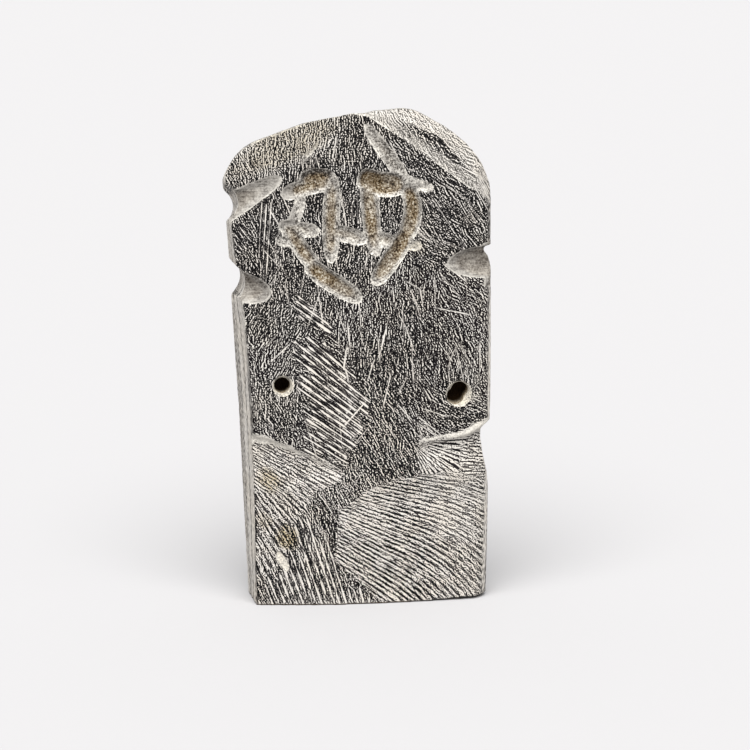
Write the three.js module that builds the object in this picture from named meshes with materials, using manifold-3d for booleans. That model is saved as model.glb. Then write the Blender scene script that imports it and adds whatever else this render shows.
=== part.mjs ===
// A small standing stone figure, filed from one flat piece of soft dark stone.
// Millimetres, +Z up. The front faces -Y, and +X is at the right as seen from the front.
// The blank is a loft of plan sections, trimmed to the leaning top outline.
// Everything else is cut into it as a carver would: facets, file strokes, notches, bores.

import * as THREE from 'three';
import { mergeVertices } from 'three/addons/utils/BufferGeometryUtils.js';
import Module from 'manifold-3d';

const wasm = await Module();
wasm.setup();

// Driving dimensions of the blank, each as [height, value] pairs in millimetres.
const BLANK_LEVELS = [ 0, 12, 24, 36, 48, 60, 70, 80, 90, 98, 105, 112, 119, 126 ];
const LEFT_ARRIS_X = [
	[ 0, - 25.6 ], [ 45, - 26.3 ], [ 66, - 27.4 ], [ 80, - 29.3 ], [ 105, - 32.5 ], [ 126, - 32.6 ],
];
const LEFT_BACK_X = [
	[ 0, - 26.7 ], [ 25, - 27.8 ], [ 45, - 28.6 ], [ 66, - 29.9 ],
	[ 86, - 30.9 ], [ 105, - 32.4 ], [ 126, - 32.5 ],
];
const RIGHT_X = [ [ 0, 32.4 ], [ 10, 32.6 ], [ 45, 32.7 ], [ 60, 32.8 ], [ 90, 32.6 ], [ 126, 32.6 ] ];
const FRONT_DEPTH = [ [ 0, 10 ], [ 60, 10 ], [ 90, 9.6 ], [ 126, 8.6 ] ];
const FRONT_SAG = [ [ 0, 2.2 ], [ 30, 1.4 ], [ 48, 0.8 ], [ 126, 0.8 ] ]; // the sides lie this far back
const BACK_DEPTH = [ [ 0, 8.6 ], [ 45, 8.8 ], [ 90, 8.2 ], [ 126, 6.8 ] ];
const BACK_BULGE = 1.2;
const ARRIS_RADIUS = 0.7; // the crisp edge between the front and the left side
const BACK_CORNER_RADIUS = 3.6;
const RIGHT_CORNER_X = [ [ 0, 9.5 ], [ 24, 8 ], [ 48, 3 ], [ 126, 3 ] ]; // the corner rounds in along X
const RIGHT_CORNER_Y = [ [ 0, 6.6 ], [ 24, 5.4 ], [ 48, 3.4 ], [ 126, 3.4 ] ]; // and along Y
const SECTION_STEPS = { front: 14, rightCorner: 7, back: 8, backCorner: 4, arris: 3 };

// The top outline in the plane of the front face, from the left shoulder to the right one.
const TOP_PLANE_Y = - 10;
const TOP_LEAN = THREE.MathUtils.degToRad( 12 ); // the top falls towards the back
const LEFT_SHOULDER = { corner: [ - 33.2, 113.1 ], start: [ - 33.4, 100 ], end: [ - 23.2, 116.1 ] };
const CREST = [
	[ - 13.5, 119.5 ], [ - 4.2, 121.2 ], [ - 1.2, 121.8 ], [ 1.5, 121.9 ], [ 3.7, 122.5 ], [ 7.6, 123.05 ],
	[ 11.2, 123.6 ], [ 13.7, 123.35 ], [ 15.5, 122.7 ], [ 17.5, 121.6 ],
];
const RIGHT_SHOULDER = { corner: [ 33.4, 113.9 ], start: [ 19.4, 120.4 ], end: [ 33.4, 98 ] };

// Facets filed along the top: a broad one behind the scraped line and short steep ones at the rims.
// Each goes through an [x, z] point of the face. Facing is its direction in the front view, and
// lean is how far it turns away from the front, both in degrees.
const BROAD_FACET = { through: [ 19, 109 ], facing: 54.4, lean: 29 };
const RIGHT_RIM_FACETS = [
	{ through: [ 8.2, 120.9 ], facing: 80, lean: 52 },
	{ through: [ 15.2, 117.3 ], facing: 62, lean: 53 },
	{ through: [ 23.6, 111.2 ], facing: 47, lean: 55 },
	{ through: [ 29, 104.8 ], facing: 27, lean: 58 },
];
const LEFT_RIM_FACETS = [
	{ through: [ - 7, 120.6 ], facing: 104, lean: 48 },
	{ through: [ - 18.2, 116.9 ], facing: 111, lean: 48 },
	{ through: [ - 27, 113.2 ], facing: 122, lean: 48 },
	{ through: [ - 31.2, 109.4 ], facing: 145, lean: 52 },
];

// The scraped line: a shallow channel along the lower left border of the broad facet.
const SCRAPED_LINE = {
	path: [
		[ - 1, 124.4 ], [ 2.5, 122.2 ], [ 7.3, 119.2 ], [ 12.2, 116.3 ],
		[ 20, 110.4 ], [ 26.8, 104.8 ], [ 31.7, 101.3 ],
	],
	depths: [ 0.5, 0.4, 0.3, 0.3, 0.3, 0.25, - 0.1 ],
	radius: 1.85,
};

// Strokes of a round file that make the face: path points are [x, z] in the front face.
const FILE_RADIUS = 2.4;
const LEFT_EYE_STROKES = [
	// The brow, in two passes.
	{ path: [ [ - 19.2, 101.6 ], [ - 14.6, 103.2 ], [ - 10.5, 104.2 ], [ - 5.6, 104.7 ] ], depth: 1.3 },
	{ path: [ [ - 14.4, 104.8 ], [ - 10.6, 106 ], [ - 5.6, 105.6 ] ], depth: 1.35, radius: 2.8 },
	// Down beside the nose, and from the brow down the temple.
	{ path: [ [ - 6.2, 107.3 ], [ - 6.7, 99 ], [ - 6.9, 92.4 ], [ - 6.9, 84.7 ] ], depth: 1.35 },
	{ path: [ [ - 13.8, 102.6 ], [ - 14.9, 98.2 ], [ - 17.4, 92.8 ] ], depth: 0.6, radius: 3.1 },
	// Below the eye and on below the nose.
	{ path: [ [ - 19.9, 94.9 ], [ - 14.4, 93.6 ], [ - 9.2, 92.9 ] ], depth: 1 },
	{ path: [ [ - 9.4, 93 ], [ - 3.6, 92.3 ], [ 2, 90.5 ] ], depth: 1.1, radius: 2.6 },
	// The cheek, the jaw and a nick beside the cheek.
	{ path: [ [ - 18.6, 95.7 ], [ - 15.9, 91.8 ], [ - 13.2, 87.5 ], [ - 9.4, 82.9 ] ], depth: 1.3 },
	{ path: [ [ - 13, 85.8 ], [ - 9.6, 82.6 ], [ - 5.2, 79.7 ], [ 1, 75.7 ] ], depth: 1.55, radius: 2.7 },
	{ path: [ [ - 20.1, 90.9 ], [ - 15.9, 90.2 ] ], depth: 0.6 },
];
const RIGHT_EYE_STROKES = [
	// The brow, which is the deepest, and a faint run from it to the temple.
	{ path: [ [ - 0.4, 106.3 ], [ 4.8, 104.4 ], [ 11.6, 104 ] ], depth: 2.1, radius: 3.2 },
	{ path: [ [ 9.6, 106.3 ], [ 14.1, 104.2 ], [ 19, 102.7 ] ], depth: 0.5, radius: 3.4 },
	// Down beside the nose, and round the outside of the eye.
	{ path: [ [ 1.6, 107.2 ], [ 2.7, 98.9 ], [ 3.1, 93.8 ], [ 4.2, 86.2 ] ], depth: 1.5 },
	{ path: [ [ 11, 105 ], [ 13.1, 99.2 ], [ 12.4, 94.1 ], [ 10.3, 89.4 ] ], depth: 1.6 },
	// The jaw, the run below the eye and a nick beside the cheek.
	{ path: [ [ 11.9, 93.2 ], [ 10.3, 89.9 ], [ 7.5, 85.6 ], [ 3.1, 79.4 ] ], depth: 1.75 },
	{ path: [ [ 2.8, 91.8 ], [ 9.6, 89.7 ] ], depth: 1.05 },
	{ path: [ [ 11, 89.7 ], [ 15.6, 88.8 ] ], depth: 0.5, radius: 2.8 },
];
const FOREHEAD_STROKES = [
	{ path: [ [ 0.9, 119.4 ], [ 5.6, 113 ], [ 8.5, 109 ], [ 12, 104.4 ] ], depth: 0.9 },
	{ path: [ [ - 8.4, 115.9 ], [ - 11.8, 112.3 ], [ - 15.2, 107.8 ] ], depth: 0.3 },
];
const STROKE_LIFT = 0.08; // the ends of a stroke lie this far in front of the face
const STROKE_RUN_IN = 4; // the higher this power, the shorter the run-in of a stroke

// Notches in the side edges. Each has a scoop that runs in over the front, and the two at the left
// also a round cut across the side, between an [x, z] point ahead of the front and one behind the back.
const NOTCHES = [
	{
		scoop: {
			path: [ [ - 17, 107 ], [ - 20.6, 105.2 ], [ - 26, 102.2 ], [ - 35.5, 96.8 ] ],
			depths: [ - 0.25, 0.6, 1.15, 2.3 ],
			radius: 3.9,
		},
		side: { ahead: [ - 33.3, 101.5 ], behind: [ - 34.2, 96.2 ], radius: 4.4 },
	},
	{
		scoop: {
			path: [ [ - 20.2, 77.2 ], [ - 25.4, 78.7 ], [ - 35, 81.2 ] ],
			depths: [ - 0.25, 1.6, 3.3 ],
			radius: 4.5,
		},
		side: { ahead: [ - 32.4, 80.8 ], behind: [ - 33.1, 80 ], radius: 5 },
	},
	{
		scoop: {
			path: [ [ 19.9, 84.1 ], [ 26, 84.8 ], [ 36, 85 ] ],
			depths: [ - 0.25, 1.6, 3.6 ],
			radius: 4.5,
		},
	},
];
const SIDE_CUT_Y = [ - 14, 12 ]; // cuts across a side run from ahead of the front to behind the back

// Blind bores below the middle: one at the left, and two that run together at the right.
const BORES = [
	{ at: [ - 18.9, 55.3 ], radius: 1.95, mouth: 2.5, depth: 7.5, tilt: 0 },
	{ at: [ 24.7, 53.3 ], radius: 2.05, mouth: 2.75, depth: 8, tilt: 4 },
	{ at: [ 23.7, 51.8 ], radius: 2.1, mouth: 2.75, depth: 7.5, tilt: 4 },
];
const BORE_MOUTH_DEPTH = 0.8;
const BORE_TAPER = 0.96; // the radius at the foot of the wall as a share of that at its top
const BORE_POINT = 0.6; // the height of the pointed end as a share of the radius

// Cut-backs of the lower front. Each station is [x, top z, depth below the step, length of the fade].
const LEFT_HEM = [
	[ - 33, 45.3, 1.7, 17 ], [ - 27, 43.6, 1.5, 15.5 ], [ - 21.5, 42.2, 1.25, 13 ],
	[ - 14.5, 39.2, 0.95, 9.5 ], [ - 9.5, 37, 0.6, 6 ], [ - 3.2, 34, 0.05, 2 ],
];
const RIGHT_HEM = [
	[ 13.6, 38.9, 0.05, 1.5 ], [ 16, 40.8, 0.7, 5.5 ], [ 19.7, 41.1, 1.1, 7.5 ], [ 23.4, 41.5, 1.4, 8.5 ],
	[ 27.2, 42.5, 1.8, 11 ], [ 30, 44, 2.3, 15 ], [ 36, 47, 2.8, 21 ],
];
const HEM_WALL = 1.3; // how far the step slopes down before the cut reaches its depth
const HEM_BELLY = { along: 0.35, depth: 0.72 }; // where the fade bends, as shares of its length and depth

// The broad cut at the lower right, which runs out at the underside: [x, top z, depth] stations.
const LOWER_FACET = [
	[ - 5.4, 24.4, 0.02 ], [ 1.2, 28.9, 0.45 ], [ 7.5, 32.1, 0.75 ],
	[ 17.3, 33.3, 0.9 ], [ 27.2, 32.9, 0.9 ], [ 37, 31.4, 0.9 ],
];
const LOWER_FACET_RUN_IN = 7; // the length over which it reaches its depth
const LOWER_FACET_FOOT = 0.8; // its depth at the underside as a share of its full depth
const SKIM = 0.05; // a cut starts this far in front of the face
const PROUD = 4; // and its outer side stays this far in front

// Hollows filed into the right side, as [x, z] profiles that run from front to back.
// At the back a hollow is shallower by its rise and lower by its drop.
const SIDE_HOLLOWS = [
	{
		profile: [ [ 36, 91 ], [ 29.9, 89.2 ], [ 29.8, 88.4 ], [ 31, 86.9 ], [ 31.7, 84.2 ], [ 36, 77 ] ],
		rise: 3.2,
		drop: 3,
	},
	{
		profile: [
			[ 36, 46.4 ], [ 31.6, 45.1 ], [ 30, 43.9 ], [ 29.9, 40.8 ],
			[ 30.4, 37.3 ], [ 31.5, 32.4 ], [ 32.1, 28 ], [ 36, 22 ],
		],
		rise: 1.3,
		drop: 0,
	},
];

const WELD = 1e-4; // corners closer together than this are one corner
const STONE = new THREE.MeshStandardMaterial( { color: 0x8a8681, roughness: 0.82, metalness: 0 } );

// Reads a value off a list of [position, value] pairs, straight between its entries.
function valueAt( pairs, position ) {

	const next = pairs.findIndex( ( pair ) => pair[ 0 ] >= position );
	if ( next < 0 ) return pairs[ pairs.length - 1 ][ 1 ];
	if ( next === 0 ) return pairs[ 0 ][ 1 ];
	const [ fromPosition, fromValue ] = pairs[ next - 1 ];
	const [ toPosition, toValue ] = pairs[ next ];
	return THREE.MathUtils.mapLinear( position, fromPosition, toPosition, fromValue, toValue );

}

// The depth of the front face at a place in the front view.
function frontY( x, z ) {

	const left = valueAt( LEFT_ARRIS_X, z );
	const right = valueAt( RIGHT_X, z );
	const across = ( 2 * x - left - right ) / ( right - left );
	return - valueAt( FRONT_DEPTH, z ) + valueAt( FRONT_SAG, z ) * across * across;

}

// Points and faces as a solid, turned the right way out whichever way the faces run.
function solidOf( points, faces ) {

	if ( enclosedVolume( points, faces ) < 0 ) faces.reverse();
	return new wasm.Manifold( new wasm.Mesh( {
		numProp: 3,
		vertProperties: Float32Array.from( points.flatMap( ( point ) => point.toArray() ) ),
		triVerts: Uint32Array.from( faces ),
	} ) );

}

// A box, lathe or extrusion as a solid, with equal corners joined and collapsed faces left out.
function solidOfGeometry( geometry ) {

	const bare = geometry.clone();
	bare.deleteAttribute( 'normal' );
	bare.deleteAttribute( 'uv' );
	const merged = mergeVertices( bare, WELD );
	const position = merged.getAttribute( 'position' );
	const points = [];
	for ( let i = 0; i < position.count; i ++ ) {

		points.push( new THREE.Vector3().fromBufferAttribute( position, i ) );

	}

	const index = Array.from( merged.getIndex().array );
	const faces = [];
	for ( let i = 0; i < index.length; i += 3 ) {

		const corners = index.slice( i, i + 3 );
		if ( new Set( corners ).size === 3 ) faces.push( ...corners );

	}

	return solidOf( points, faces );

}

// A closed skin over rings of equal count, each end capped by a fan about its own middle.
function loft( rings ) {

	const count = rings[ 0 ].length;
	const points = rings.flat();
	const faces = [];
	for ( let r = 0; r + 1 < rings.length; r ++ ) {

		for ( let i = 0; i < count; i ++ ) {

			const a = r * count + i;
			const b = r * count + ( i + 1 ) % count;
			faces.push( a, b, b + count, a, b + count, a + count );

		}

	}

	const ends = [ { first: 0, flip: true }, { first: ( rings.length - 1 ) * count, flip: false } ];
	for ( const { first, flip } of ends ) {

		const middle = new THREE.Vector3();
		for ( let i = 0; i < count; i ++ ) middle.addScaledVector( points[ first + i ], 1 / count );
		const hub = points.push( middle ) - 1;
		for ( let i = 0; i < count; i ++ ) {

			const a = first + i;
			const b = first + ( i + 1 ) % count;
			faces.push( ...( flip ? [ b, a, hub ] : [ a, b, hub ] ) );

		}

	}

	return solidOf( points, faces );

}

// The volume inside a closed skin, negative where its faces point inwards.
function enclosedVolume( points, faces ) {

	let total = 0;
	const normal = new THREE.Vector3();
	for ( let i = 0; i < faces.length; i += 3 ) {

		normal.crossVectors( points[ faces[ i ] ], points[ faces[ i + 1 ] ] );
		total += normal.dot( points[ faces[ i + 2 ] ] ) / 6;

	}

	return total;

}

// Points on a quarter of an ellipse, from startAngle on, without the end point.
function cornerPoints( centreX, centreY, radiusX, radiusY, startAngle, steps, z ) {

	const points = [];
	for ( let i = 0; i < steps; i ++ ) {

		const angle = startAngle + Math.PI / 2 * i / steps;
		const x = centreX + radiusX * Math.cos( angle );
		const y = centreY + radiusY * Math.sin( angle );
		points.push( new THREE.Vector3( x, y, z ) );

	}

	return points;

}

// One plan section: bowed front, rounder right corner, plain bowed back, crisp left edge.
function planSection( z ) {

	const steps = SECTION_STEPS;
	const quarter = Math.PI / 2;
	const leftBack = valueAt( LEFT_BACK_X, z );
	const right = valueAt( RIGHT_X, z );
	const back = valueAt( BACK_DEPTH, z );
	const cornerX = valueAt( RIGHT_CORNER_X, z );
	const cornerY = valueAt( RIGHT_CORNER_Y, z );
	const faceStart = valueAt( LEFT_ARRIS_X, z ) + ARRIS_RADIUS;
	const faceEnd = right - cornerX;
	const ring = [];
	for ( let i = 0; i < steps.front; i ++ ) {

		const x = THREE.MathUtils.lerp( faceStart, faceEnd, i / steps.front );
		ring.push( new THREE.Vector3( x, frontY( x, z ), z ) );

	}

	const cornerCentreY = frontY( faceEnd, z ) + cornerY;
	ring.push( ...cornerPoints( faceEnd, cornerCentreY, cornerX, cornerY, - quarter, steps.rightCorner, z ) );
	ring.push( new THREE.Vector3( right, cornerCentreY, z ) );
	const round = BACK_CORNER_RADIUS;
	const backRightX = right - round;
	const backLeftX = leftBack + round;
	ring.push( ...cornerPoints( backRightX, back - round, round, round, 0, steps.backCorner, z ) );
	for ( let i = 0; i < steps.back; i ++ ) {

		const along = i / steps.back;
		const x = THREE.MathUtils.lerp( backRightX, backLeftX, along );
		const y = back + BACK_BULGE * 4 * along * ( 1 - along );
		ring.push( new THREE.Vector3( x, y, z ) );

	}

	ring.push( ...cornerPoints( backLeftX, back - round, round, round, quarter, steps.backCorner, z ) );
	ring.push( new THREE.Vector3( leftBack, back - round, z ) );
	const arrisY = frontY( faceStart, z ) + ARRIS_RADIUS;
	ring.push( ...cornerPoints( faceStart, arrisY, ARRIS_RADIUS, ARRIS_RADIUS, 2 * quarter, steps.arris, z ) );
	return ring;

}

// The sawn and filed blank, before its top is trimmed.
function blank() {

	return loft( BLANK_LEVELS.map( planSection ) );

}

// A prism with the top outline, extruded along a line that falls towards the back.
function topTrim() {

	const bottom = - 10;
	const side = 45;
	const sideTop = 80;
	const depth = 40;
	const ahead = 10; // the prism starts this far in front of the plane of the outline
	const curveSegments = 12;
	const outline = new THREE.Shape();
	outline.moveTo( - side, bottom );
	outline.lineTo( side, bottom );
	outline.lineTo( side, sideTop );
	outline.lineTo( ...RIGHT_SHOULDER.end );
	outline.quadraticCurveTo( ...RIGHT_SHOULDER.corner, ...RIGHT_SHOULDER.start );
	for ( const point of CREST.toReversed() ) outline.lineTo( ...point );
	outline.lineTo( ...LEFT_SHOULDER.end );
	outline.quadraticCurveTo( ...LEFT_SHOULDER.corner, ...LEFT_SHOULDER.start );
	outline.lineTo( - side, sideTop );
	const prism = new THREE.ExtrudeGeometry( outline, { depth, bevelEnabled: false, curveSegments } );
	const fall = Math.tan( TOP_LEAN );
	prism.applyMatrix4( new THREE.Matrix4().set(
		1, 0, 0, 0,
		0, 0, 1, TOP_PLANE_Y - ahead,
		0, 1, - fall, fall * ahead,
		0, 0, 0, 1,
	) );
	return solidOfGeometry( prism );

}

// The direction of a facet in the front view, as a unit vector of x and z.
function facetDirection( { facing } ) {

	const angle = THREE.MathUtils.degToRad( facing );
	return new THREE.Vector2( Math.cos( angle ), Math.sin( angle ) );

}

// The depth of the face once the broad facet is filed: the front, or the facet where it lies behind.
function filedY( x, z ) {

	const [ startX, startZ ] = BROAD_FACET.through;
	const direction = facetDirection( BROAD_FACET );
	const past = ( x - startX ) * direction.x + ( z - startZ ) * direction.y;
	const fall = Math.tan( THREE.MathUtils.degToRad( BROAD_FACET.lean ) );
	return Math.max( frontY( x, z ), frontY( startX, startZ ) + past * fall );

}

// A facet as a large block whose one face lies on its plane, to file away all that is in front.
function facetCut( facet ) {

	const reach = 60;
	const [ x, z ] = facet.through;
	const direction = facetDirection( facet );
	const turn = THREE.MathUtils.degToRad( facet.lean );
	const normal = new THREE.Vector3(
		direction.x * Math.sin( turn ),
		- Math.cos( turn ),
		direction.y * Math.sin( turn ),
	);
	const block = new THREE.BoxGeometry( reach, reach, reach );
	block.translate( 0, 0, reach / 2 );
	block.applyQuaternion( new THREE.Quaternion().setFromUnitVectors( new THREE.Vector3( 0, 0, 1 ), normal ) );
	block.translate( x, filedY( x, z ), z );
	return solidOfGeometry( block );

}

// The depth of a stroke along its length: the file dips in, runs level and lifts out again.
function strokeDip( depth, along ) {

	return depth * ( 1 - Math.abs( 2 * along - 1 ) ** STROKE_RUN_IN ) - STROKE_LIFT;

}

// One stroke of a round file over the front: a round tube whose lowest line follows the depth.
// A list of depths, spaced evenly along the path, takes the place of the usual run.
function fileStroke( { path, depth, depths, radius = FILE_RADIUS } ) {

	const sides = 16;
	const stations = path.length * 4 + 2;
	const curve = new THREE.CatmullRomCurve3( path.map( ( [ x, z ] ) => new THREE.Vector3( x, 0, z ) ) );
	const depthPairs = depths?.map( ( value, i ) => [ i / ( depths.length - 1 ), value ] );
	const rings = [];
	for ( let i = 0; i <= stations; i ++ ) {

		const along = ( 1 - Math.cos( Math.PI * i / stations ) ) / 2;
		const place = curve.getPoint( along );
		const heading = curve.getTangent( along );
		const dip = depthPairs ? valueAt( depthPairs, along ) : strokeDip( depth, along );
		const centre = new THREE.Vector3( place.x, filedY( place.x, place.z ) + dip - radius, place.z );
		const across = new THREE.Vector3( heading.z, 0, - heading.x ).normalize();
		rings.push( circlePoints( centre, across, new THREE.Vector3( 0, 1, 0 ), radius, sides ) );

	}

	return loft( rings );

}

// Points on a circle about a centre, in the plane of two unit vectors.
function circlePoints( centre, across, up, radius, sides ) {

	const points = [];
	for ( let i = 0; i < sides; i ++ ) {

		const angle = 2 * Math.PI * i / sides;
		const point = centre.clone().addScaledVector( across, radius * Math.cos( angle ) );
		points.push( point.addScaledVector( up, radius * Math.sin( angle ) ) );

	}

	return points;

}

// The cut across the side at a notch: a round bar laid over the edge.
function sideNotch( { ahead, behind, radius } ) {

	const sides = 28;
	const across = new THREE.Vector3( 1, 0, 0 );
	const up = new THREE.Vector3( 0, 0, 1 );
	const rings = [ ahead, behind ].map( ( [ x, z ], i ) => {

		return circlePoints( new THREE.Vector3( x, SIDE_CUT_Y[ i ], z ), across, up, radius, sides );

	} );
	return loft( rings );

}

// A blind bore with a chipped, flaring mouth and a pointed end, entered from the front.
function bore( { at, radius, mouth, depth, tilt } ) {

	const outside = 3;
	const sides = 22;
	const profile = [
		new THREE.Vector2( 0, - outside ),
		new THREE.Vector2( mouth, - outside ),
		new THREE.Vector2( mouth, 0 ),
		new THREE.Vector2( radius, BORE_MOUTH_DEPTH ),
		new THREE.Vector2( radius * BORE_TAPER, depth - radius * BORE_POINT ),
		new THREE.Vector2( 0, depth ),
	];
	const drill = new THREE.LatheGeometry( profile, sides );
	drill.rotateX( THREE.MathUtils.degToRad( tilt ) );
	drill.translate( at[ 0 ], frontY( ...at ), at[ 1 ] );
	return solidOfGeometry( drill );

}

// A cut-back of the lower front: a sloping step at the top that fades out downwards.
function hemCut( stations ) {

	const rings = stations.map( ( [ x, top, depth, fade ] ) => {

		const face = frontY( x, top );
		const end = top - fade;
		const belly = top - HEM_WALL - fade * HEM_BELLY.along;
		return [
			new THREE.Vector3( x, face - PROUD, top + HEM_WALL ),
			new THREE.Vector3( x, face - SKIM, top ),
			new THREE.Vector3( x, face + depth, top - HEM_WALL ),
			new THREE.Vector3( x, face + depth * HEM_BELLY.depth, belly ),
			new THREE.Vector3( x, frontY( x, end ) - SKIM, end ),
			new THREE.Vector3( x, face - PROUD, end ),
		];

	} );
	return loft( rings );

}

// The broad cut at the lower right.
function lowerFacet() {

	const bottom = - 2;
	const rings = LOWER_FACET.map( ( [ x, top, depth ] ) => {

		const outer = frontY( x, top ) - PROUD;
		const full = top - LOWER_FACET_RUN_IN;
		return [
			new THREE.Vector3( x, outer, top ),
			new THREE.Vector3( x, frontY( x, top ) - SKIM, top ),
			new THREE.Vector3( x, frontY( x, full ) + depth, full ),
			new THREE.Vector3( x, frontY( x, 0 ) + depth * LOWER_FACET_FOOT, bottom ),
			new THREE.Vector3( x, outer, bottom ),
		];

	} );
	return loft( rings );

}

// A hollow filed into the right side.
function sideHollow( { profile, rise, drop } ) {

	const [ from, to ] = SIDE_CUT_Y;
	const front = profile.map( ( [ x, z ] ) => new THREE.Vector3( x, from, z ) );
	const back = profile.map( ( [ x, z ] ) => new THREE.Vector3( x + rise, to, z - drop ) );
	return loft( [ front, back ] );

}

// The whole figure: the trimmed blank with every cut taken off it in turn.
function carve() {

	const cuts = [
		facetCut( BROAD_FACET ),
		...RIGHT_RIM_FACETS.map( facetCut ),
		...LEFT_RIM_FACETS.map( facetCut ),
		fileStroke( SCRAPED_LINE ),
		...LEFT_EYE_STROKES.map( fileStroke ),
		...RIGHT_EYE_STROKES.map( fileStroke ),
		...FOREHEAD_STROKES.map( fileStroke ),
		...NOTCHES.map( ( notch ) => fileStroke( notch.scoop ) ),
		...NOTCHES.filter( ( notch ) => notch.side ).map( ( notch ) => sideNotch( notch.side ) ),
		...BORES.map( bore ),
		hemCut( LEFT_HEM ),
		hemCut( RIGHT_HEM ),
		lowerFacet(),
		...SIDE_HOLLOWS.map( sideHollow ),
	];
	return cuts.reduce( ( stone, cut ) => stone.subtract( cut ), blank().intersect( topTrim() ) );

}

// The carved solid as a geometry with its origin at the middle of its underside.
function figureGeometry() {

	const mesh = carve().getMesh();
	const position = new THREE.BufferAttribute( Float32Array.from( mesh.vertProperties ), 3 );
	const geometry = new THREE.BufferGeometry();
	geometry.setAttribute( 'position', position );
	geometry.setIndex( Array.from( mesh.triVerts ) );
	geometry.computeBoundingBox();
	const middle = geometry.boundingBox.getCenter( new THREE.Vector3() );
	geometry.translate( - middle.x, - middle.y, - geometry.boundingBox.min.z );
	return geometry;

}

const stoneFigure = new THREE.Mesh( figureGeometry(), STONE );
stoneFigure.name = 'stone_figure';

const figure = new THREE.Group();
figure.add( stoneFigure );

export default figure;
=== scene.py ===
import itertools
import math

import bmesh
import bpy
import numpy as np
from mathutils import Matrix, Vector


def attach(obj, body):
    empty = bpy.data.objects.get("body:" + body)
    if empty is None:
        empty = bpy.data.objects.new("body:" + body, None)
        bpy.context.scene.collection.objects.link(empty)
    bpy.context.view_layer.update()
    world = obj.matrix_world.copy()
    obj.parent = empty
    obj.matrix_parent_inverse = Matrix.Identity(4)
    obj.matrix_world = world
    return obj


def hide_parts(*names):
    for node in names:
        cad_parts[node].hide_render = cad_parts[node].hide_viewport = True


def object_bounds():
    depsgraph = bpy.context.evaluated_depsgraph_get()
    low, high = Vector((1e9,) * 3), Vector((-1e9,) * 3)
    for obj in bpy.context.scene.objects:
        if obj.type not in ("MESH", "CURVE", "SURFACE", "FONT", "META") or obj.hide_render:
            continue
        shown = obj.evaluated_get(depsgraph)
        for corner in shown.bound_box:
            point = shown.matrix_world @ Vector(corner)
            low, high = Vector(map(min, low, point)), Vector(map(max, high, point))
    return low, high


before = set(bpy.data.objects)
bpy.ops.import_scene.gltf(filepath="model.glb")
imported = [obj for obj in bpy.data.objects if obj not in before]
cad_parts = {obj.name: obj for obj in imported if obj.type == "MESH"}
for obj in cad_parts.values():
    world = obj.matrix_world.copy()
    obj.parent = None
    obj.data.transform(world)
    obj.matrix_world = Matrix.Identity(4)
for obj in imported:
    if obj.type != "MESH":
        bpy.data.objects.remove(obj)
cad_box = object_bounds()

# A small standing stone figure. Sizes are in millimetres. Points on its front are given as (x, z),
# and the slope of a stroke in degrees down to the right.
MM = 0.001

# The stone before it was carved, each line as a list of heights and a list of values there: the x
# of its left and right edges, how far forward its front lies, and how far back the front bends at
# its edges.
LEFT_EDGE = ([0, 45, 66, 80, 105, 126], [-25.6, -26.3, -27.4, -29.3, -32.5, -32.6])
RIGHT_EDGE = ([0, 10, 45, 60, 90, 126], [32.4, 32.6, 32.7, 32.8, 32.6, 32.6])
FRONT = ([0, 60, 90, 126], [10, 10, 9.6, 8.6])
SAG = ([0, 30, 48, 126], [2.2, 1.4, 0.8, 0.8])

GRAIN_OF_MESH = 0.36        # spacing of the points on the worked front
SAME_PLACE = 0.001          # points closer than this are one point
MOST_TRIANGLES = 192000     # in the finished piece
BACK_LEVELS = 10            # steps in which the mesh gets plainer towards the back
CLOUD_TABLE = (37, 41, 43)  # cells along x, y and z after which the clouds repeat
SPREAD_ROUNDS = 16          # rounds in which the course of spreading strokes settles
WIDEST_SPREAD = 30          # distance across beyond which strokes spread no further

LIGHT_ON_FRONT = 1.75       # how bright white is on the front, where 1 shows as white
NEXT_LINE = 7.31            # how far apart neighbouring lines read a noise

# How deep the finer relief is.
STROKE_DEPTH = 0.1          # rasp strokes
WALL_ROUGHNESS = 0.07       # cut stone
FOOT_WEAR = 0.8             # the worn edge at the front right of the foot
BUMP_HEIGHT = 0.2           # the finest marks, which the material only shades

FACE_FROM = 66              # lowest z of the gouged face
GOUGE_EDGE = 0.14           # depth behind the plain front where a gouge's edge lies
GOUGE_EDGE_WIDTH = 0.7      # change of depth across that edge

# The filed notches: lowest z, highest z and side of the stone, -1 for its left and 1 for its
# right. All lie further out than NOTCHES_FROM.
NOTCHES = [(94.5, 108.5, -1), (69.5, 84.2, -1), (79.0, 89.6, 1)]
NOTCHES_FROM = 16

# The border of the broad facet at the upper right, where the scraped line runs.
SCRAPED_FROM = (19.0, 109.0)
SCRAPED_FACING = (0.582, 0.813)
SCRAPED_WIDTH = 2.4

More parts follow.
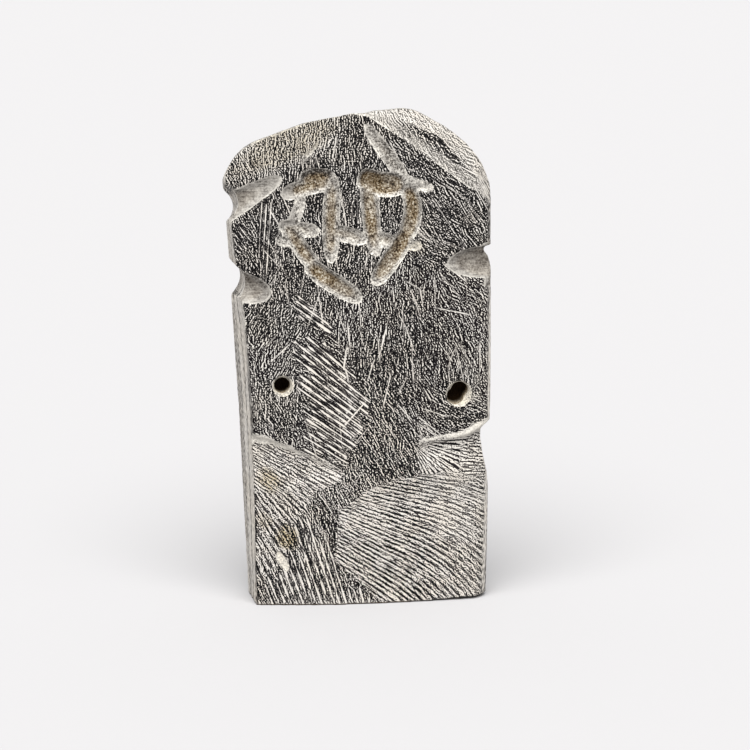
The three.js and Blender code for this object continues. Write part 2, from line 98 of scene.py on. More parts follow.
# Patches of rasp strokes. Each has an outline, the run of its strokes, and:
# width, the share of their spacing that the strokes fill
# show, how strongly they show, above 0 as pale strokes on dark stone, below 0 as dark ones on pale
# bare, how bare the stone is between them, from 0 for the dark old skin to 1 for fresh pale stone
# ragged, how far inside the outline a stroke may end
# smooth, how far the patch is filed smooth and pale, and painted brighter as painted light against the
# shade under a step
# fade, the x where the strokes start to fade, the x where that ends and the share that stays
RASP_PATCHES = {
    "long_pale_strokes": dict(
        outline=[(-16.6, 66.5), (-7.4, 69.2), (2.8, 50.8), (1.4, 43.4), (-1.0, 38.8), (-4.3, 33.2),
                 (-9.0, 34.4), (-14.0, 38.6), (-14.6, 49.0), (-16.0, 60.0)],
        strokes=dict(at=(-6.0, 52.0), slope=38.0, spacing=1.27, spread=-0.42),
        width=0.34, show=1.0, bare=0.08, ragged=3.4),
    "pale_strokes_above": dict(
        outline=[(-17.6, 76.6), (-14.6, 78.0), (-5.2, 69.6), (-7.2, 67.2), (-15.0, 71.4)],
        strokes=dict(at=(-11.0, 72.0), slope=36.5, spacing=1.27),
        width=0.42, show=1.0, bare=0.0, ragged=0.8),
    "lip_of_left_cut_back": dict(
        outline=[(-33.0, 46.8), (-26.0, 43.8), (-22.7, 42.7), (-17.7, 40.7), (-13.3, 38.4), (-4.2, 33.6),
                 (-13.3, 36.6), (-17.7, 38.4), (-22.7, 39.9), (-26.0, 40.2), (-28.5, 36.5), (-33.0, 36.0)],
        strokes=dict(at=(-20.0, 40.0), slope=20.0, spacing=1.0),
        width=0.1, show=0.0, bare=1.2, smooth=1.0),
    "left_cut_back": dict(
        outline=[(-33.0, 36.8), (-28.5, 37.4), (-26.0, 41.2), (-22.7, 40.7), (-17.7, 39.2), (-13.3, 37.4),
                 (-3.6, 33.4), (-4.8, 31.2), (-9.3, 29.4), (-17.3, 28.0), (-26.0, 28.2), (-33.0, 28.2)],
        strokes=dict(at=(-22.0, 35.6), slope=31.0, spacing=0.8, spread=0.9),
        width=0.36, show=-0.6, bare=0.8),
    "below_left_cut_back": dict(
        outline=[(-33.0, 29.0), (-17.3, 28.8), (-10.0, 29.9), (-13.0, 25.0), (-16.5, 20.0), (-17.4, 14.0),
                 (-20.5, 9.0), (-25.0, 3.0), (-33.0, 0.0)],
        strokes=dict(at=(-20.0, 23.0), slope=52.0, spacing=1.22, spread=1.5),
        width=0.36, show=-0.62, bare=0.76),
    "steep_strokes_at_foot": dict(
        outline=[(-25.0, 5.0), (-21.5, 9.6), (-18.4, 14.0), (-17.2, 20.0), (-13.0, 25.0), (-11.0, 24.0),
                 (-6.0, 14.0), (-4.0, 8.0), (1.0, 4.0), (6.0, -2.0), (-33.0, -2.0), (-33.0, 1.0)],
        strokes=dict(at=(-15.0, 10.0), slope=71.0, spacing=1.5, spread=-0.3),
        width=0.34, show=0.75, bare=0.24, ragged=3.0),
    "lip_of_right_cut_back": dict(
        outline=[(13.2, 39.6), (15.6, 41.7), (19.7, 42.3), (24.0, 42.9), (30.0, 45.8), (35.0, 48.0),
                 (35.0, 43.6), (30.0, 42.2), (25.4, 40.9), (19.7, 41.0), (16.0, 40.2)],
        strokes=dict(at=(20.0, 42.0), slope=-8.0, spacing=1.0),
        width=0.1, show=0.0, bare=1.2, smooth=1.0),
    "fan_of_right_cut_back": dict(
        outline=[(13.6, 39.2), (16.0, 40.7), (19.7, 41.5), (26.4, 41.5), (26.4, 32.0), (20.0, 32.0),
                 (14.6, 32.4)],
        strokes=dict(at=(12.0, 41.2), fan=5.6),
        width=0.38, show=-0.8, bare=0.99),
    "edge_of_right_cut_back": dict(
        outline=[(25.4, 41.3), (30.0, 42.8), (35.0, 44.2), (35.0, 28.0), (30.0, 30.0), (24.6, 32.4)],
        strokes=dict(at=(30.0, 39.0), slope=14.0, spacing=0.76, spread=-1.6),
        width=0.4, show=-0.5, bare=0.8),
    "lower_right_facet": dict(
        outline=[(-5.6, 24.2), (1.2, 28.6), (7.5, 31.6), (15.0, 32.6), (25.0, 32.6), (30.0, 31.0),
                 (35.0, 29.0), (35.0, -2.0), (7.5, -2.0), (1.0, 4.2), (-6.5, 11.5), (-5.6, 20.0)],
        strokes=dict(at=(0.0, 16.5), slope=28.5, spacing=0.93, spread=0.95, bend=0.0125, bend_from=12.0),
        width=0.34, show=-1.0, bare=0.8, fade=(4.0, 30.0, 0.45)),
    "short_strokes_by_upper_notch": dict(
        outline=[(-31.4, 94.6), (-27.0, 95.6), (-25.6, 89.0), (-29.5, 87.4)],
        strokes=dict(at=(-28.5, 91.3), slope=53.0, spacing=1.0),
        width=0.26, show=0.75, bare=0.04, ragged=1.5),
    "long_scratches_left_of_face": dict(
        outline=[(-24.6, 100.6), (-18.8, 101.8), (-19.4, 86.0), (-21.4, 75.5), (-25.0, 77.5)],
        strokes=dict(at=(-21.6, 89.0), slope=94.0, spacing=1.07),
        width=0.24, show=0.85, bare=0.02, ragged=5.0),
    "file_marks_down_the_left": dict(
        outline=[(-32.0, 70.0), (-26.6, 70.0), (-22.0, 47.0), (-29.0, 47.0)],
        strokes=dict(at=(-26.0, 58.0), slope=77.0, spacing=1.0),
        width=0.26, show=0.4, bare=0.1, ragged=5.0),
}

# Clusters of lone scratches over the rest: centre, half length, half width, slope, spacing and
# how strongly they show. More are scattered by chance.
LONE_SCRATCHES = [
    ((-1.4, 48.0), 5.6, 2.6, -49, 1.9, 0.9),
    ((0.6, 43.0), 4.4, 2.2, -50, 1.3, 0.7),
    ((6.2, 43.5), 5.2, 3.0, 58, 1.3, 0.75),
    ((2.2, 53.6), 3.4, 1.8, -52, 1.4, 0.8),
    ((18.6, 47.9), 4.4, 1.7, 20, 1.5, 0.95),
    ((10.5, 55.0), 4.0, 0.9, -62, 1.3, 0.7),
    ((-21.5, 66.5), 4.6, 2.2, -47, 1.4, 0.6),
    ((-24.4, 50.0), 4.2, 2.4, -50, 1.3, 0.55),
    ((28.6, 51.8), 1.8, 3.2, 4, 1.1, 0.8),
    ((-15.2, 26.4), 3.6, 2.4, -55, 1.2, 0.6),
    ((-8.4, 26.2), 4.4, 2.2, 66, 1.2, 0.6),
    ((-2.6, 35.0), 4.0, 2.6, 57, 1.2, 0.55),
    ((-0.4, 32.0), 3.2, 1.6, -58, 1.2, 0.7),
    ((24.2, 101.4), 6.0, 2.2, 35, 1.6, 0.7),
    ((27.2, 96.2), 4.2, 2.4, 52, 1.2, 0.55),
    ((18.0, 90.6), 4.4, 2.2, 38, 1.5, 0.65),
    ((13.5, 79.2), 4.2, 1.2, 31, 1.3, 0.75),
    ((21.6, 79.6), 2.6, 1.2, 33, 1.2, 0.7),
    ((12.6, 107.6), 1.3, 0.5, 2, 1.0, 1.0),
    ((-2.0, 76.5), 3.2, 1.4, -50, 1.1, 0.55),
    ((0.5, 110.0), 4.4, 1.0, 88, 1.0, 0.55),
    ((-0.6, 97.6), 7.4, 2.4, 90, 1.25, 0.5),
]
SCATTERED_CLUSTERS = 110

# Stretches that are paler than the rest, or darker below 0: centre, half length, half width,
# slope and by how much.
PALE_STRETCHES = [
    ((-18.0, 113.5), 21.0, 7.5, -22, 0.5),
    ((22.0, 24.0), 14.0, 11.0, 60, 0.2),
    ((30.0, 70.0), 40.0, 4.5, 90, 0.08),
    ((-27.5, 60.0), 14.0, 2.4, 78, 0.16),
    ((-10.5, 113.0), 3.0, 6.0, 60, 0.14),
    ((24.0, 56.5), 8.0, 4.0, 90, 0.06),
    ((-2.0, 28.0), 15.0, 9.0, 45, 0.24),
    ((-20.0, 60.0), 30.0, 7.0, 90, 0.1),
    ((-2.0, 98.0), 14.0, 12.0, 0, -0.07),
    ((-4.0, 112.0), 7.0, 5.0, 0, 0.14),
    ((14.0, 60.0), 16.0, 11.0, 0, -0.03),
    ((8.0, 41.0), 8.0, 6.0, 0, 0.04),
]

# Where no patch lies, the dark skin carries fine scratches whose slope changes from place to
# place: (x, z, slope).
SCRATCH_SLOPES = [
    (-22, 113, 86), (-28, 104, 74), (-26, 97, 60), (-12, 113, 90), (0, 113, 88), (-1, 98, 91),
    (8, 95, 92), (12, 112, 52), (22, 100, 50), (28, 93, 54), (20, 90, 42), (26, 76, 44), (29, 66, 70),
    (14, 78, 82), (3, 70, 90), (-9, 82, 84), (-16, 82, 82), (-22, 68, 110), (-21, 56, 106), (-20, 47, 68),
    (8, 60, 86), (18, 62, 78), (27, 56, 84), (12, 50, 58), (5, 44, 62), (12, 42, 66), (5, 35, 62),
    (-2, 29, 60), (-8, 22, 66), (20, 47, 30), (28, 48, 24), (24, 110, 40),
]

# Brown stains: centre, half length, half width, slope and strength. Each fades out at this many
# times its size.
STAIN_REACH = 1.3
STAINS = [
    ((-22.3, 31.8), 3.4, 2.6, 50, 0.75),
    ((-17.9, 17.3), 3.2, 2.8, 60, 1.0),
    ((-18.0, 113.6), 13.0, 4.2, -24, 0.5),
    ((-23.5, 21.5), 2.4, 1.8, 40, 0.45),
    ((14.0, 88.5), 2.5, 2.0, 0, 0.3),
]
CHIP = dict(at=(-19.1, 11.2), half_length=3.2, half_width=1.15, slope=63.0, depth=0.3)

# Drilled holes: centre and radius.
DRILLED_HOLES = [((-18.9, 55.3), 2.0), ((24.2, 52.55), 2.6)]

# The fine scratches of the skin run in these slopes, each where the grain runs about its way.
GRAIN_SLOPES = (0, 30, 60, 90, 120, 150)

# Colours as they look in the light on the front, from 0 to 255 and a little over where the light
# is weaker. Each set goes from its darkest to its palest tone, as (tone, colour).
SKIN_SHADES = [(0.0, (2, 1, 3)), (0.3, (35, 32, 35)), (0.62, (136, 131, 127)), (1.0, (257, 251, 242))]
CLEAN_SHADES = [
    (0.34, (70, 65, 60)), (0.42, (136, 131, 125)), (0.52, (190, 185, 177)), (0.66, (232, 227, 217)),
    (0.8, (285, 278, 264)),
]
DIRTY_SHADES = [
    (0.33, (34, 23, 12)), (0.42, (108, 87, 59)), (0.53, (153, 134, 105)), (0.66, (220, 210, 190)),
    (0.8, (270, 262, 246)),
]
# Painted dark: brown hole walls painted darker further in as painted shade, and the painted contact shadow
# along the underside.
HOLE_AND_SHADOW_COLOUR = (62, 45, 26)

# Tints that darken the colour under them, as (red, green, blue, 1).
WARM_TINT = (1.0, 0.94, 0.84, 1.0)
STAIN_TINT = (0.63, 0.54, 0.34, 1.0)


def smooth_step(value, low, high):
    """0 at low, 1 at high and a smooth change between them."""
    share = np.clip((value - low) / (high - low), 0, 1)
    return share * share * (3 - 2 * share)


def plain_front(x, z):
    """How far forward the uncarved front lies, as y."""
    left, right = np.interp(z, *LEFT_EDGE), np.interp(z, *RIGHT_EDGE)
    across = (2 * x - left - right) / (right - left)
    return -np.interp(z, *FRONT) + np.interp(z, *SAG) * across ** 2


def cloudy(points, cell, seed):
    """Smooth random values from -1 to 1 whose clouds are about one cell across."""
    table = np.random.default_rng(seed).uniform(-1, 1, CLOUD_TABLE)
    place = points / cell
    corner = np.floor(place).astype(int)
    share = smooth_step(place - corner, 0, 1)
    total = np.zeros(len(points))
    for step in itertools.product((0, 1), repeat=3):
        i, j, k = ((corner + step) % table.shape).T
        total += np.prod(np.where(step, share, 1 - share), axis=1) * table[i, j, k]
    return total


def turned(x, z, at, slope):
    """Distances along and across a stroke that passes through a point."""
    angle = math.radians(slope)
    dx, dz = x - at[0], z - at[1]
    return dx * math.cos(angle) - dz * math.sin(angle), dx * math.sin(angle) + dz * math.cos(angle)


def inside_outline(x, z, outline):
    """Distance inside an outline, below 0 outside it."""
    corners = np.array(outline)
    nearest = np.full(len(x), np.inf)
    inside = np.zeros(len(x), bool)
    for (ax, az), (bx, bz) in zip(corners, np.roll(corners, -1, axis=0)):
        ex, ez = bx - ax, bz - az
        share = np.clip(((x - ax) * ex + (z - az) * ez) / (ex * ex + ez * ez), 0, 1)
        nearest = np.minimum(nearest, np.hypot(x - ax - share * ex, z - az - share * ez))
        if ez:
            crosses = (az > z) != (bz > z)
            inside ^= crosses & (x < ax + (z - az) * ex / ez)
    return np.where(inside, nearest, -nearest)


def stroke_run(x, z, at, slope=0.0, spacing=1.0, spread=0.0, bend=0.0, bend_from=0.0, fan=None):
    """The run length and the count of the rasp strokes at each point. Strokes spread by degrees
    for each millimetre across, bend away beyond a distance, or fan out from a point, with so many
    degrees between them."""
    if fan:
        dx, dz = x - at[0], z - at[1]
        return np.hypot(dx, dz), np.degrees(np.arctan2(-dz, dx)) / fan
    along, across = turned(x, z, at, slope)
    bent = across + bend * np.maximum(0, along - bend_from) ** 2
    start = bent
    for _ in range(SPREAD_ROUNDS):
        turn = np.radians(spread * np.clip(start, -WIDEST_SPREAD, WIDEST_SPREAD))
        start = 0.5 * (start + bent - along * np.tan(turn))
    return along, start / spacing


def finely_meshed(source, name):
    """A copy of a solid's mesh, merged and remeshed so finely that strokes can be worked into it."""
    bm = bmesh.new()
    bm.from_mesh(source.data)
    bmesh.ops.remove_doubles(bm, verts=bm.verts, dist=SAME_PLACE * MM)
    rough = bpy.data.meshes.new(name + "_rough")
    bm.to_mesh(rough)
    bm.free()
    piece = bpy.data.objects.new(name, rough)
    bpy.context.collection.objects.link(piece)
    remesh = piece.modifiers.new("fine_mesh", "REMESH")
    remesh.mode = "VOXEL"
    remesh.voxel_size = GRAIN_OF_MESH * MM
    apply_modifiers(piece)
    return piece


def apply_modifiers(piece):
    """Fixes the result of a piece's modifiers in its mesh."""
    graph = bpy.context.evaluated_depsgraph_get()
    finished = bpy.data.meshes.new_from_object(piece.evaluated_get(graph))
    piece.modifiers.clear()
    piece.data = finished
    finished.name = piece.name


def soften(piece):
    """Wears the mesh's steps and sharp edges down a little."""
    bm = bmesh.new()
    bm.from_mesh(piece.data)
    bmesh.ops.smooth_vert(bm, verts=bm.verts, factor=0.5, use_axis_x=True, use_axis_y=True, use_axis_z=True)
    bm.to_mesh(piece.data)
    bm.free()


def points_of(mesh):
    """A mesh's points in millimetres and its outward directions."""
    points = np.empty(len(mesh.vertices) * 3)
    mesh.vertices.foreach_get("co", points)
    normals = np.empty(len(mesh.vertices) * 3)
    mesh.vertices.foreach_get("normal", normals)
    return points.reshape(-1, 3) / MM, normals.reshape(-1, 3)


def scattered_scratches():
    """Small clusters of scratches here and there, roughly along the scratches of the skin."""
    chance = np.random.default_rng(61)
    clusters = []
    for _ in range(SCATTERED_CLUSTERS):
        at = chance.uniform(-24, 30), chance.uniform(40, 114)
        nearest = min(SCRATCH_SLOPES, key=lambda known: math.dist(known[:2], at))
        slope = nearest[2] + chance.normal(0, 16)
        half_length = chance.uniform(4.0, 9.0)
        half_width = chance.uniform(0.5, 1.6)
        spacing = chance.uniform(1.0, 1.7)
        show = chance.uniform(0.4, 0.9)
        clusters.append((at, half_length, half_width, slope, spacing, show))
    return clusters


def spot(x, z, at, half_length, half_width, slope):
    """1 in the middle of an oval spot, 0 outside it."""
    along, across = turned(x, z, at, slope)
    return smooth_step(-np.hypot(along / half_length, across / half_width), -1.0, -0.45)


def one_way(slope):
    """The same slope between -45 and 135 degrees."""
    return (slope + 45) % 180 - 45


def slope_of_strokes(x, z, strokes):
    """The slope of rasp strokes at each point, from how their count changes to the right and up."""
    step = 0.05
    count = stroke_run(x, z, **strokes)[1]
    to_the_right = stroke_run(x + step, z, **strokes)[1] - count
    upwards = stroke_run(x, z + step, **strokes)[1] - count
    return one_way(np.degrees(np.arctan2(to_the_right, upwards)))


def lay(fields, where, **marks):
    """Puts marks in place of the ones that the fields have there."""
    for name, mark in marks.items():
        fields[name] = np.where(where, mark, fields[name])


def at_least(fields, **marks):
    """Raises the fields to the given marks wherever they are weaker."""
    for name, mark in marks.items():
        fields[name] = np.maximum(fields[name], mark)


def cut_open(fields):
    """How far a gouge has opened the skin, from 0 to 1 across its edge."""
    return smooth_step(fields["cut"], 0.45, 0.6)


# The fields, each with one value for every point of the surface:
# u, w: its place on its face of the stone, where the fine scratches are read
# slope: the slope of its fine scratches
# bare: how bare it is, from 0 for dark old skin to 1 for pale stone
# run, count, width, rasp: its place among the rasp strokes, their width and their strength
# run_b, count_b, show_b: its place among the lone scratches and their strength
# gouge, cut: how far the stone is cut open there, smoothly or with a ragged edge
# dirt, stain, deep: brown dirt in the gouges, stains, and the dark deep in the holes, partly painted shade,
# and the painted contact shadow along the underside
# bright: how much paler its cut stone is, or darker below 0, with painted shade deep in the gouges and
# painted light on the lips
# plain: how calm its pattern is
# chip, worn_foot: its share of the chip and of the worn edge of the foot
# front, up: how far it faces forward and up; the material paints light on what faces up and shade on what
# faces down


def skin_fields(place):
    """The dark skin all over: how worn it is, the slope of its fine scratches, and no mark yet."""
    x, z, wx, wz, points = place["x"], place["z"], place["wx"], place["wz"], place["points"]
    turn = np.zeros((2, len(x)))
    for sx, sz, slope in SCRATCH_SLOPES:
        near = ((wx - sx) ** 2 + (wz - sz) ** 2 + 3.0) ** -2
        double = math.radians(2 * slope)
        turn += near * np.array([[math.cos(double)], [math.sin(double)]])
    slope = np.degrees(np.arctan2(turn[1], turn[0])) / 2 + 14 * cloudy(points, 3.6, 14)
    bare = 0.04 + 0.08 * cloudy(points, 9.0, 12) + 0.06 * cloudy(points, 3.5, 13)
    unmarked = (
        "run", "count", "rasp", "run_b", "count_b", "show_b", "gouge", "stain", "deep", "bright", "plain")
    fields = dict.fromkeys(unmarked, np.zeros(len(x)))
    fields.update(u=x, w=z, slope=one_way(slope), bare=bare, width=np.full(len(x), 0.3))
    return fields


def add_rasp_patches(fields, place):
    """Lays the patches of rasp strokes over the skin."""
    x, z, points = place["x"], place["z"], place["points"]
    stroke_ends = np.random.default_rng(51).uniform(0, 1, 64) ** 2
    for patch in RASP_PATCHES.values():
        edge = inside_outline(place["wx"], place["wz"], patch["outline"])
        run, count = stroke_run(x, z, **patch["strokes"])
        count = count + place["shake"] / patch["strokes"].get("spacing", 1.0)
        own_end = patch.get("ragged", 0.0) * stroke_ends[np.floor(count).astype(int) % len(stroke_ends)]
        hold = smooth_step(edge - own_end, 0.0, 0.7)
        if "fade" in patch:
            start, end, least = patch["fade"]
            hold = hold * (1 - (1 - least) * smooth_step(x, start, end))
        # On the lips of the cut-backs: pale filed stone, made brighter still as painted light against the
        # shade under their steps.
        smooth = patch.get("smooth", 0.0) * hold * place["facing_front"]
        bare = patch["bare"] + 0.07 * cloudy(points, 5.0, 23) + 0.05 * cloudy(points, 2.0, 24)
        blend = smooth_step(edge, -0.1, 0.4)
        lay(fields, edge > 0, run=run, count=count, slope=slope_of_strokes(x, z, patch["strokes"]),
            rasp=patch["show"] * hold, width=patch["width"], gouge=0.9 * smooth, plain=0.7 * smooth,
            bright=1.8 * smooth, bare=fields["bare"] + (bare - fields["bare"]) * blend)


def add_pale_stretches(fields, place):
    """Makes some stretches paler, with weaker rasp strokes, or darker, with stronger ones."""
    for at, half_length, half_width, slope, more in PALE_STRETCHES:
        paler = more * spot(place["wx"], place["wz"], at, half_length, half_width, slope)
        fields["bare"] = fields["bare"] + paler
        fields["rasp"] = fields["rasp"] * (1 - paler)


def add_lone_scratches(fields, place):
    """Lays the lone scratches over the rest, the strongest where clusters meet. They show less
    among dark strokes. Each cluster reads its own stretch of the noise along its run."""
    x, z = place["x"], place["z"]
    own_stretch = 40
    on_dark_strokes = np.maximum(0, -fields["rasp"])
    for at, half_length, half_width, slope, spacing, show in LONE_SCRATCHES + scattered_scratches():
        shown = show * spot(x, z, at, half_length, half_width, slope) * (1 - 0.6 * on_dark_strokes)
        along, across = turned(x, z, at, slope)
        lay(fields, shown > fields["show_b"], run_b=along + own_stretch * at[0],
            count_b=(across + place["shake"]) / spacing + 0.5, show_b=shown)


def add_worn_foot(fields, place):
    """The foot's lower edge is worn pale, and rounded off at the front right."""
    x, y, z = place["x"], place["y"], place["z"]
    at_least(fields, bare=0.45 * smooth_step(0.6 * place["wobble"][0] - z, -2.4, -0.6))
    fields["worn_foot"] = smooth_step(x, 6, 31) * smooth_step(-y, -3.0, 3.0) * smooth_step(-z, -1.6, 0.0)


def add_gouges(fields, place):
    """Marks what lies behind the plain front, away from its rounded edges. Deep gouges are painted darker
    further in, as painted shade, and old ones at the upper left are darker. The notches are filed
    smooth and hold little dirt, and the lower ones are darker than the upper one."""
    x, z, depth = place["x"], place["z"], place["depth"]
    left, right = place["left"], place["right"]
    off_edges = smooth_step(x, left + 0.9, left + 1.3) * smooth_step(-x, -right + 3.3, -right + 3.9)
    notched = np.zeros(len(x))
    for low, high, side in NOTCHES:
        notched = np.maximum(notched, (z > low) & (z < high) & (x * side > NOTCHES_FROM))
    upper = smooth_step(z, FACE_FROM, FACE_FROM + 4) * (place["past_line"] < 0)
    within = upper * np.maximum(off_edges, notched) * place["facing_front"]
    fields["cut"] = np.clip(0.5 + (depth - GOUGE_EDGE) / GOUGE_EDGE_WIDTH, 0, 1) * within
    fields["dirt"] = within * smooth_step(depth, 0.6, 1.3) * (1 - 0.75 * notched)
    old = smooth_step(z, 104, 107) * smooth_step(-x, 6, 8)
    # Painted shade: the deeper the gouge, the darker its stone.
    painted_shade_in_depth = 0.15 * smooth_step(depth, 0.5, 1.2) + 0.22 * smooth_step(depth, 1.3, 2.1)
    notch_darker = 0.42 - 0.32 * smooth_step(z, 86, 92)
    darker = np.where(notched > 0, notch_darker, np.maximum(painted_shade_in_depth, old))
    fields["bright"] = fields["bright"] - within * darker
    at_least(fields, plain=0.8 * notched * cut_open(fields))


def add_upper_right(fields, place):
    """The upper right: a pale scraped line, a dark broad facet and pale steep rims, partly filed stone and
    partly painted light from above.
    """
    z, past_line = place["z"], place["past_line"]
    beyond = smooth_step(past_line, -0.15, 0.15) * place["facing_front"]
    lay(fields, beyond > 0.5, bare=0.25 * cloudy(place["points"], 6.0, 33) - 0.04)
    shaky = past_line + 0.25 * place["wobble"][0]
    channel = beyond * smooth_step(-shaky, -SCRAPED_WIDTH - 0.4, -SCRAPED_WIDTH + 0.3)
    at_least(fields, bare=0.45 * channel, gouge=0.35 * channel)
    # The steep rims are painted pale: partly filed stone, partly painted light on faces that turn towards
    # the lamp above.
    steep = smooth_step(place["normals"][:, 1], -0.82, -0.7) * (z > 70)
    rim = np.where(past_line > 0, steep * 0.8, steep * smooth_step(z, 100, 106) * 0.42)
    at_least(fields, bare=rim, gouge=0.3 * rim)
    near_crest = beyond * smooth_step(-place["x"], -12.5, -8.0)
    at_least(fields, bare=0.8 * near_crest)


def add_dark_corner(fields, place):
    """A broken dark seam down the left front corner, below the face."""
    outward = -place["normals"][:, 0]
    corner = smooth_step(outward, 0.25, 0.4) * smooth_step(-outward, -0.85, -0.65) * place["facing_front"]
    broken = smooth_step(cloudy(place["points"] * (1, 1, 0.3), 1.3, 39), -0.4, 0.1)
    corner = corner * (place["z"] < FACE_FROM + 2) * broken
    fields["bare"] = fields["bare"] - 0.9 * corner


def cover(fields, share, bare, plain, **fine_scratches):
    """Gives a whole face of the stone a look and fine scratches of its own. Their u lies far from
    the other faces' u, so that no face repeats another's scratches."""
    lay(fields, share > 0.5, rasp=0, show_b=0, **fine_scratches)
    fields["bare"] = fields["bare"] * (1 - share) + bare * share
    at_least(fields, plain=plain * share)


def add_filed_sides(fields, place):
    """The narrow sides: pale, with file marks and broad uneven bands down them."""
    y, z, points = place["y"], place["z"], place["points"]
    long_points = points * (1, 1, 0.06)
    streaks = 0.6 * cloudy(long_points, 4.0, 36) + 0.6 * cloudy(long_points, 1.8, 35)
    bands = np.sin(2 * np.pi * y / 5.6 + 1.5 * cloudy(points * (1, 1, 0.12), 7.0, 38))
    bare = 1.14 + 0.08 * cloudy(points, 6.0, 31) - 0.4 * smooth_step(streaks, 0.0, 0.4)
    bare = bare - 0.4 * smooth_step(bands, 0.1, 0.9)
    side = smooth_step(np.abs(place["normals"][:, 0]), 0.6, 0.85)
    cover(fields, side, bare, 0.85, u=y + 90, w=0.3 * z, slope=88.0)


def add_back(fields, place):
    """The back: the old skin, never carved, with scratches that run about upright."""
    points = place["points"]
    bare = 0.1 + 0.1 * cloudy(points, 9.0, 31) + 0.08 * cloudy(points * (1, 1, 0.2), 3.0, 32)
    slope = one_way(84 + 30 * cloudy(points, 24.0, 34))
    back = smooth_step(place["normals"][:, 1], 0.3, 0.7)
    cover(fields, back, bare, 0.6, u=place["x"] + 200, w=0.8 * place["z"], slope=slope)


def add_top(fields, place):
    """The narrow top: half worn, with file marks that run along it."""
    bare = 0.5 + 0.2 * cloudy(place["points"], 5.0, 37)
    top = smooth_step(place["normals"][:, 2], 0.6, 0.85) * (1 - place["facing_front"])
    cover(fields, top, bare, 0.5, u=0.7 * place["x"] + 300, w=place["y"], slope=12.0)


def add_holes(fields, place):
    """Drilled holes: a chipped cream rim, wider at the lower right, and dark brown walls that are
    painted darker further in, as painted shade.
    """
    x, z, depth = place["x"], place["z"], place["depth"]
    centres = np.array([at for at, _ in DRILLED_HOLES])
    off_centres = [np.hypot(x - hx, z - hz) for hx, hz in centres]
    off_walls = [off_centre - radius for off_centre, (_, radius) in zip(off_centres, DRILLED_HOLES)]
    off_wall = np.min(off_walls, axis=0) + 0.3 * place["wobble"][1]
    centre_x, centre_z = centres[np.argmin(off_centres, axis=0)].T
    wider = 0.5 * smooth_step((x - centre_x) - (z - centre_z), -1.5, 1.5)
    below_face = z < FACE_FROM
    rim = smooth_step(-off_wall, -0.8 - wider, -0.15) * (depth < 1.1) * below_face * place["near_front"]
    walls = smooth_step(depth, 0.85, 1.3) * (off_wall < 1.2) * (place["y"] < 2) * below_face
    at_least(fields, cut=np.maximum(walls, rim), stain=0.4 * rim, dirt=walls)
    # Painted shade: the walls turn dark further into the hole.
    at_least(fields, deep=walls * smooth_step(depth, 2.0, 5.0))
    fields["bright"] = fields["bright"] + rim
    fields["rasp"] = fields["rasp"] * (1 - np.maximum(rim, walls))


def add_painted_contact_shadow(fields, place):
    """A painted contact shadow: the stone's lowest half millimetre is painted dark."""
    underside = smooth_step(-place["z"], -0.5, -0.25)
    # Painted shadow where the foot meets the floor.
    at_least(fields, gouge=underside, deep=0.9 * underside)


def add_stains(fields, place):
    """Brown stains on the front."""
    for at, half_length, half_width, slope, strength in STAINS:
        reach = STAIN_REACH * half_length, STAIN_REACH * half_width
        shown = strength * spot(place["wx"], place["wz"], at, *reach, slope)
        at_least(fields, stain=shown * place["facing_front"])


def add_chip(fields, place):
    """The smooth pale chip at the lower left."""
    along, across = turned(place["x"], place["z"], CHIP["at"], CHIP["slope"])
    off_centre = np.hypot(along / CHIP["half_length"], across / CHIP["half_width"])
    chip = smooth_step(-off_centre, -1.0, -0.75) * place["facing_front"]
    at_least(fields, bare=chip, gouge=0.8 * chip, stain=0.2 * chip)
    fields["bright"] = fields["bright"] + 2.2 * chip
    fields["rasp"] = fields["rasp"] * (1 - chip)
    fields["chip"] = chip


def unevenness(points):
    """How far the old skin lies behind the plain front, in millimetres."""
    return 0.05 + 0.05 * cloudy(points, 2.1, 42) + 0.03 * cloudy(points, 0.9, 43)


def surface_fields(points, normals, sunk):
    """What the carver and time did at each point: how bare, rasped, gouged, dirty or stained it is.
    Sunk is how far the skin there has been worked in already. A wobble makes the borders uneven,
    and depth is measured behind the plain front."""
    x, y, z = points.T
    wobble = np.stack([cloudy(points, 1.7, 3), cloudy(points, 1.7, 4)]) * 0.4
    wobble += np.stack([cloudy(points, 0.6, 5), cloudy(points, 0.6, 6)]) * 0.22
    place = dict(
        points=points, normals=normals, x=x, y=y, z=z, wobble=wobble, wx=x + wobble[0], wz=z + wobble[1],
        shake=0.07 * cloudy(points, 4.0, 21) + 0.025 * cloudy(points, 1.5, 22),
        facing_front=smooth_step(-normals[:, 1], 0.25, 0.5), near_front=smooth_step(-y, 3.0, 5.0),
        depth=y - plain_front(x, z) - sunk, left=np.interp(z, *LEFT_EDGE), right=np.interp(z, *RIGHT_EDGE),
        past_line=(x - SCRAPED_FROM[0]) * SCRAPED_FACING[0] + (z - SCRAPED_FROM[1]) * SCRAPED_FACING[1])
    fields = skin_fields(place)
    add_rasp_patches(fields, place)
    add_pale_stretches(fields, place)
    add_lone_scratches(fields, place)
    add_worn_foot(fields, place)
    add_gouges(fields, place)
    add_upper_right(fields, place)
    add_dark_corner(fields, place)
    add_filed_sides(fields, place)
    add_back(fields, place)
    add_top(fields, place)
    add_holes(fields, place)
    add_painted_contact_shadow(fields, place)
    add_stains(fields, place)
    add_chip(fields, place)
    fields["front"] = place["facing_front"]
    # Up lets the material paint light on what faces up and shade on what faces down.
    fields["up"] = normals[:, 2]
    return fields


